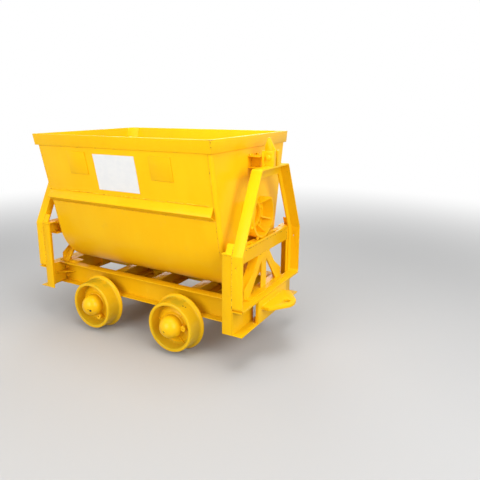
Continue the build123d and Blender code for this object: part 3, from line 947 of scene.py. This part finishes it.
def on_wheel(pattern, end, side, turn, spot):
    """A copy of a pattern at its spot on a wheel's outer face, turned about the axle.

    The pattern and the spot are drawn with Z out of the wheel's face and X away from the axle.
    """
    axle = Matrix.Translation(place(end * AXLE_X, 0, AXLE_Z))
    stand = Matrix.Rotation(radians(-90 * side), 4, "X")
    part = copy_piece(pattern, pattern.name)
    part.matrix_world = axle @ Matrix.Rotation(radians(-turn), 4, "Y") @ stand @ spot
    settle(part)
    return part


rib_pattern = make_rib()
ring_pattern = make_ring()
boss_pattern = make_boss()
rib_reach = (WEB_INNER[0] + WEB_OUTER[0]) / 2
web_slope = atan2(WEB_INNER[1] - WEB_OUTER[1], WEB_OUTER[0] - WEB_INNER[0])
rib_middle = Vector((rib_reach, 0, web_height(rib_reach) + RIB_LIFT)) * MM
rib_spot = Matrix.Translation(rib_middle) @ Matrix.Rotation(web_slope, 4, "Y")
ring_spot = Matrix.Translation((0, 0, web_height(WEB_RING) * MM))
boss_spot = Matrix.Translation((BOSS_REACH * MM, 0, BOSS_BASE * MM))
for end_name, end in ENDS:
    ribs = []
    bosses = []
    for _, side in SIDES:
        for turn in RIB_TURNS[end_name]:
            ribs.append(on_wheel(rib_pattern, end, side, turn, rib_spot))
        ribs.append(on_wheel(ring_pattern, end, side, 0, ring_spot))
        bosses.append(on_wheel(boss_pattern, end, side, -BOSS_TURN[end_name], boss_spot))
    for parts, name, paint in ((ribs, "web_ribs", CAST_PAINT), (bosses, "cap_bosses", WHEEL_PAINT)):
        piece = join(parts, f"{name}_{end_name}")
        dress(piece, piece.name, paint, f"wheelset_{end_name}")
for pattern in (rib_pattern, ring_pattern, boss_pattern):
    bpy.data.objects.remove(pattern)


# Pin heads, bolts and nuts, each drawn once with its axis along Z

PIN_HEAD_RADIUS = 13
PIN_HEAD_HEIGHT = 9
PIN_WASHER_RADIUS = 16.5
PIN_WASHER_HEIGHT = 2
# Shares of a hexagon head's radius, and of its height for the chamfer
HEX_RIM = 0.12
HEX_CORNER = 0.95
HEX_CHAMFER = 0.18
# How far below the top of a head its faces and corners still count as the top, in mm
TOP_BAND = 0.1


def make_pin_head():
    """A domed round head on a washer."""
    middle = (0, 0, PIN_HEAD_HEIGHT / 2 * MM)
    bpy.ops.mesh.primitive_cylinder_add(
        vertices=32, radius=PIN_HEAD_RADIUS * MM, depth=PIN_HEAD_HEIGHT * MM, location=middle
    )
    head = bpy.context.active_object
    settle(head)
    choose(head, "FACE", lambda middle: middle.z > (PIN_HEAD_HEIGHT - TOP_BAND) * MM)
    for inset, rise in ((3.0, 1.6), (4.0, 0.8)):
        bpy.ops.mesh.inset(thickness=inset * MM)
        bpy.ops.transform.translate(value=(0, 0, rise * MM))
    leave_edit()
    middle = (0, 0, PIN_WASHER_HEIGHT / 2 * MM)
    bpy.ops.mesh.primitive_cylinder_add(
        vertices=32, radius=PIN_WASHER_RADIUS * MM, depth=PIN_WASHER_HEIGHT * MM, location=middle
    )
    washer = bpy.context.active_object
    settle(washer)
    whole = join([head, washer], "pin_head")
    bevel_edges(whole, 0.7 * MM, 2, radians(25))
    smooth(whole, radians(50))
    return whole


def make_hex_head(across_flats, height, washer_radius, washer_height):
    """A chamfered hexagon head on a washer. Sizes in mm."""
    radius = across_flats * MM / sqrt(3)
    top = (washer_height + height) * MM
    middle = (0, 0, (washer_height + height / 2) * MM)
    bpy.ops.mesh.primitive_cylinder_add(vertices=6, radius=radius, depth=height * MM, location=middle)
    head = bpy.context.active_object
    settle(head)
    choose(head, "FACE", lambda middle: middle.z > top - TOP_BAND * MM)
    bpy.ops.mesh.inset(thickness=radius * HEX_RIM)
    leave_edit()

    def is_outer_corner(co):
        return co.z > top - TOP_BAND * MM and Vector(co.xy).length > radius * HEX_CORNER

    choose(head, "VERT", is_outer_corner)
    bpy.ops.transform.translate(value=(0, 0, -height * MM * HEX_CHAMFER))
    leave_edit()
    middle = (0, 0, washer_height * MM / 2)
    bpy.ops.mesh.primitive_cylinder_add(
        vertices=20, radius=washer_radius * MM, depth=washer_height * MM, location=middle
    )
    washer = bpy.context.active_object
    settle(washer)
    bevel_edges(washer, 0.5 * MM, 1)
    whole = join([head, washer], "hex_head")
    bevel_edges(whole, 0.45 * MM, 2, radians(35))
    smooth(whole)
    return whole


def set_heads(pattern, name, spots, body):
    """Copies of a pattern at spots: (point, direction it stands out in, turn in degrees)."""
    heads = []
    for point, outward, turn in spots:
        head = copy_piece(pattern, pattern.name)
        stand = Vector(outward).to_track_quat("Z", "Y").to_matrix().to_4x4()
        head.matrix_world = Matrix.Translation(point) @ stand @ Matrix.Rotation(radians(turn), 4, "Z")
        settle(head)
        heads.append(head)
    dress(join(heads, name), name, CAST_PAINT, body)


BOLT_CIRCLE = 88
BOLT_ANGLES = (9, -45, -90, -135, 171)
KEEPER_NUT_X = 628
KEEPER_NUT_Y = 36
SILL_BOLT_X = 675
SILL_BOLT_HEIGHTS = (236, 295)
SEAT_BOLT_Y = 243
SEAT_BOLT_REACH = 44
pin_head = make_pin_head()
small_head = make_hex_head(across_flats=17, height=8, washer_radius=12, washer_height=2)
keeper_nut = make_hex_head(across_flats=15, height=9, washer_radius=9.5, washer_height=1)
turns = random.Random(7)
for end_name, end in ENDS:
    spots = [(place(end * PIN_X, side * CHEEK_OUTER, PIN_Z), (0, side, 0), 0) for _, side in SIDES]
    set_heads(pin_head, f"pin_heads_{end_name}", spots, "frame")
for end_name, end in ENDS:
    spots = []
    for angle in BOLT_ANGLES:
        y = BOLT_CIRCLE * cos(radians(angle))
        z = ROCKER_CENTRE + BOLT_CIRCLE * sin(radians(angle))
        spots.append((place(end * ROCKER_WEB_FRONT, y, z), (end, 0, 0), turns.uniform(0, 60)))
    set_heads(small_head, f"casting_bolts_{end_name}", spots, "bucket")
    spots = []
    for y in (-KEEPER_NUT_Y, KEEPER_NUT_Y):
        spots.append((place(end * KEEPER_NUT_X, y, KEEPER_Z[1]), (0, 0, 1), turns.uniform(0, 60)))
    set_heads(keeper_nut, f"keeper_nuts_{end_name}", spots, "bucket")
    spots = []
    for _, side in SIDES:
        for z in SILL_BOLT_HEIGHTS:
            point = place(end * SILL_BOLT_X, side * SILL_FACE, z)
            spots.append((point, (0, side, 0), turns.uniform(0, 60)))
        for x in (AXLE_X - SEAT_BOLT_REACH, AXLE_X + SEAT_BOLT_REACH):
            point = place(end * x, side * SEAT_BOLT_Y, SILL_BOTTOM + WALL)
            spots.append((point, (0, 0, 1), turns.uniform(0, 60)))
    set_heads(small_head, f"sill_bolts_{end_name}", spots, "frame")
for pattern in (pin_head, small_head, keeper_nut):
    bpy.data.objects.remove(pattern)


# Bare sheet of paper on the near side

SHEET_LENGTH = 297
SHEET_HEIGHT = 210
SHEET_MIDDLE = (-19, 996)
SHEET_GAP = 0.5
SHEET_LIFT = 2.2
SHEET_THICK = 0.35
bpy.ops.mesh.primitive_grid_add(x_subdivisions=36, y_subdivisions=26, size=1.0, location=(0, 0, 0))
sheet = bpy.context.active_object
sheet.scale = (SHEET_LENGTH * MM, SHEET_HEIGHT * MM, 1)
settle(sheet)
ripple = bpy.data.textures.new("paper_ripple", "CLOUDS")
ripple.noise_scale = 0.11
lift = sheet.modifiers.new("lift", "DISPLACE")
lift.texture = ripple
lift.texture_coords = "LOCAL"
lift.direction = "Z"
lift.strength = SHEET_LIFT * MM
lift.mid_level = 0.0
thickness = sheet.modifiers.new("thickness", "SOLIDIFY")
thickness.thickness = SHEET_THICK * MM
thickness.offset = 1
apply_all(sheet)
sheet_x, sheet_z = SHEET_MIDDLE
sheet_y = -wall_half_width(sheet_z) - SHEET_GAP
upright = Matrix.Rotation(radians(90) + WALL_SLOPE, 4, "X")
sheet.matrix_world = Matrix.Translation(place(sheet_x, sheet_y, sheet_z)) @ upright
settle(sheet)
smooth(sheet, radians(60))
name_piece(sheet, "paper_sheet", PAPER)
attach(sheet, "bucket")


# The camera that was fitted to the photograph: lengths in its pixels, then its place in metres and its turn

FOCAL_PX = 490.13
FRAME_PX = 480
CENTRE_PX = (210.23, 223.38)
CAMERA_PLACE = (1.8307, -2.4063, 1.378)
YAW = radians(31.831)
PITCH = radians(13.621)
ROLL = radians(-0.383)
right = Vector((cos(YAW), sin(YAW), 0))
forward = Vector((-sin(YAW) * cos(PITCH), cos(YAW) * cos(PITCH), -sin(PITCH)))
up = right.cross(forward)
camera_right = right * cos(ROLL) + up * sin(ROLL)
camera_up = up * cos(ROLL) - right * sin(ROLL)
lens = bpy.data.cameras.new("photo_camera")
lens.sensor_fit = "HORIZONTAL"
lens.sensor_width = 36.0
lens.lens = FOCAL_PX * lens.sensor_width / FRAME_PX
lens.shift_x = (FRAME_PX / 2 - CENTRE_PX[0]) / FRAME_PX
lens.shift_y = (CENTRE_PX[1] - FRAME_PX / 2) / FRAME_PX
camera = bpy.data.objects.new("photo_camera", lens)
bpy.context.scene.collection.objects.link(camera)
turned = Matrix((camera_right, camera_up, -forward)).transposed().to_4x4()
camera.matrix_world = Matrix.Translation(CAMERA_PLACE) @ turned
bpy.context.scene.camera = camera


# Floor and backdrop: a pale floor that turns white in the distance, and a white world behind it

FLOOR_RADIUS = 14.0
FADE_START = 2.2
FADE_END = 6.0
FLOOR_SEEN = (0.46, 0.46, 0.46, 1)
FLOOR_LIT = (0.27, 0.27, 0.27, 1)
WHITE = (1, 1, 1, 1)
ROOM_LIGHT = (0.97, 0.985, 1.0, 1)
ROOM_STRENGTH = 0.40
bpy.ops.mesh.primitive_circle_add(vertices=96, radius=FLOOR_RADIUS, fill_type="NGON", location=(0, 0, 0))
floor = bpy.context.active_object
floor.name = "studio_floor"
ground = Shader(bpy.data.materials.new("pale_floor"))
ground_x, ground_y = ground.axes()[:2]
distance = ground.math("SQRT", ground_x * ground_x + ground_y * ground_y)
seen = ground.seen_plainly()
grey = ground.mix(seen, FLOOR_LIT, FLOOR_SEEN)
matt = ground.add("ShaderNodeBsdfPrincipled", (), {"Base Color": grey, "Roughness": 0.8})
white = ground.add("ShaderNodeEmission", (), {"Color": WHITE, "Strength": 1.0})
far_off = ground.step(distance, FADE_START, FADE_END) * seen
fade = ground.add("ShaderNodeMixShader", (), {0: far_off, 1: ground.out(matt), 2: ground.out(white)})
floor.data.materials.append(ground.finish(fade))

world = bpy.data.worlds.new("studio")
bpy.context.scene.world = world
sky = Shader(world)
room = sky.add("ShaderNodeBackground", (), {"Color": ROOM_LIGHT, "Strength": ROOM_STRENGTH})
backdrop = sky.add("ShaderNodeBackground", (), {"Color": WHITE, "Strength": 1.0})
choice = sky.add("ShaderNodeMixShader", (), {0: sky.seen_plainly(), 1: sky.out(room), 2: sky.out(backdrop)})
sky.finish(choice, "ShaderNodeOutputWorld")


# Lamps

LAMPS = (
    # name, place, aim, size in metres, power in watts, colour
    ("key_from_front", (-0.6, -4.6, 2.3), (0, 0, 0.7), 3.2, 146, (1.0, 0.99, 0.97)),
    ("fill_from_right", (4.4, -1.6, 2.6), (0, 0, 0.8), 4.2, 170, (1.0, 1.0, 1.0)),
    ("fill_from_behind", (-2.6, 4.2, 2.6), (0, 0, 0.7), 3.4, 105, (1.0, 1.0, 1.0)),
    ("top_soft", (0.9, -0.5, 4.7), (0.2, 0, 0), 2.6, 108, (1.0, 1.0, 1.0)),
)
for name, position, aim, size, power, colour in LAMPS:
    lamp = bpy.data.lights.new(name, "AREA")
    lamp.shape = "DISK"
    lamp.size = size
    lamp.energy = power
    lamp.color = colour
    holder = bpy.data.objects.new(name, lamp)
    bpy.context.scene.collection.objects.link(holder)
    toward = Vector(aim) - Vector(position)
    facing = toward.to_track_quat("-Z", "Y").to_matrix().to_4x4()
    holder.matrix_world = Matrix.Translation(position) @ facing

bpy.context.scene.view_settings.view_transform = "Standard"
